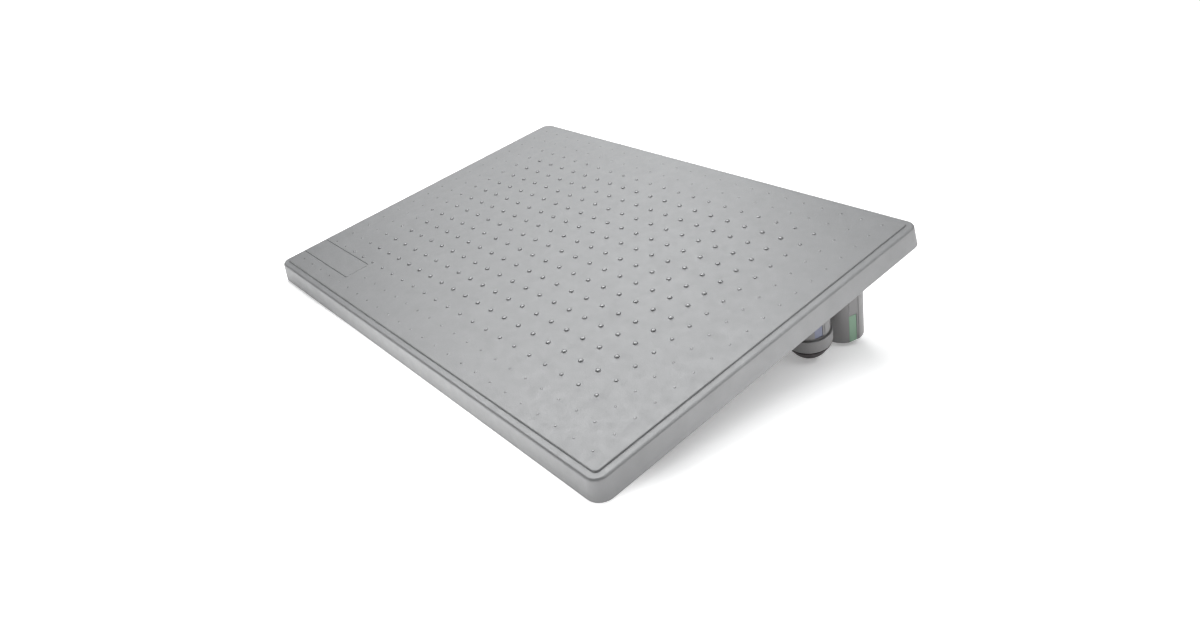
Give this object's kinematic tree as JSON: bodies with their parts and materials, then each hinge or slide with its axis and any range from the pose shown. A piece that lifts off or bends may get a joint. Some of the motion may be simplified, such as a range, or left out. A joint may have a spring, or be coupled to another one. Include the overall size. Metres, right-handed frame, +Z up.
{
  "type": "adjustable footrest",
  "caption": "Sloping studded footrest platform on rubber front pads and plug-in rubber-tipped feet, with shorter and longer colour-coded socket columns for a second height.",
  "frame": {"origin": "on the floor, under the middle of the footrest's bounding box", "axes": "+X to the right along the long edge, +Y from the low front edge to the raised rear edge, +Z up; the tread slopes 15 degrees about X"},
  "size_m": [0.4594, 0.3264, 0.103],
  "materials": {
    "platform_grey": "fine moulded grain",
    "column_grey": "satin moulded plastic",
    "foot_grey": "satin moulded plastic",
    "blue_mark": "smooth inlay",
    "green_mark": "smooth inlay",
    "rubber_black": "matt non-slip rubber",
    "o_ring_rubber": "smooth",
    "screw_steel": "zinc plated"
  },
  "bodies": {
    "platform": {"platform_shell": "platform_grey", "blue_socket_column_right": "column_grey", "blue_mark_right": "blue_mark", "blue_column_screw_inner_right": "screw_steel", "blue_column_screw_outer_right": "screw_steel", "green_socket_column_right": "column_grey", "green_mark_right": "green_mark", "green_column_screw_inner_right": "screw_steel", "green_column_screw_outer_right": "screw_steel", "front_pad_right": "rubber_black", "blue_socket_column_left": "column_grey", "blue_mark_left": "blue_mark", "blue_column_screw_inner_left": "screw_steel", "blue_column_screw_outer_left": "screw_steel", "green_socket_column_left": "column_grey", "green_mark_left": "green_mark", "green_column_screw_inner_left": "screw_steel", "green_column_screw_outer_left": "screw_steel", "front_pad_left": "rubber_black"},
    "foot_right": {"foot_body_right": "foot_grey", "foot_o_ring_right": "o_ring_rubber", "foot_tip_right": "rubber_black", "tip_screw_right": "screw_steel"},
    "foot_left": {"foot_body_left": "foot_grey", "foot_o_ring_left": "o_ring_rubber", "foot_tip_left": "rubber_black", "tip_screw_left": "screw_steel"}
  },
  "joints": [
    {"name": "foot_pull_right", "type": "slide", "parent": "platform", "child": "foot_right", "axis": [0, 0.2588, -0.9659], "range_m": [0, 0.04]},
    {"name": "foot_pull_left", "type": "slide", "parent": "platform", "child": "foot_left", "axis": [0, 0.2588, -0.9659], "range_m": [0, 0.04]}
  ]
}
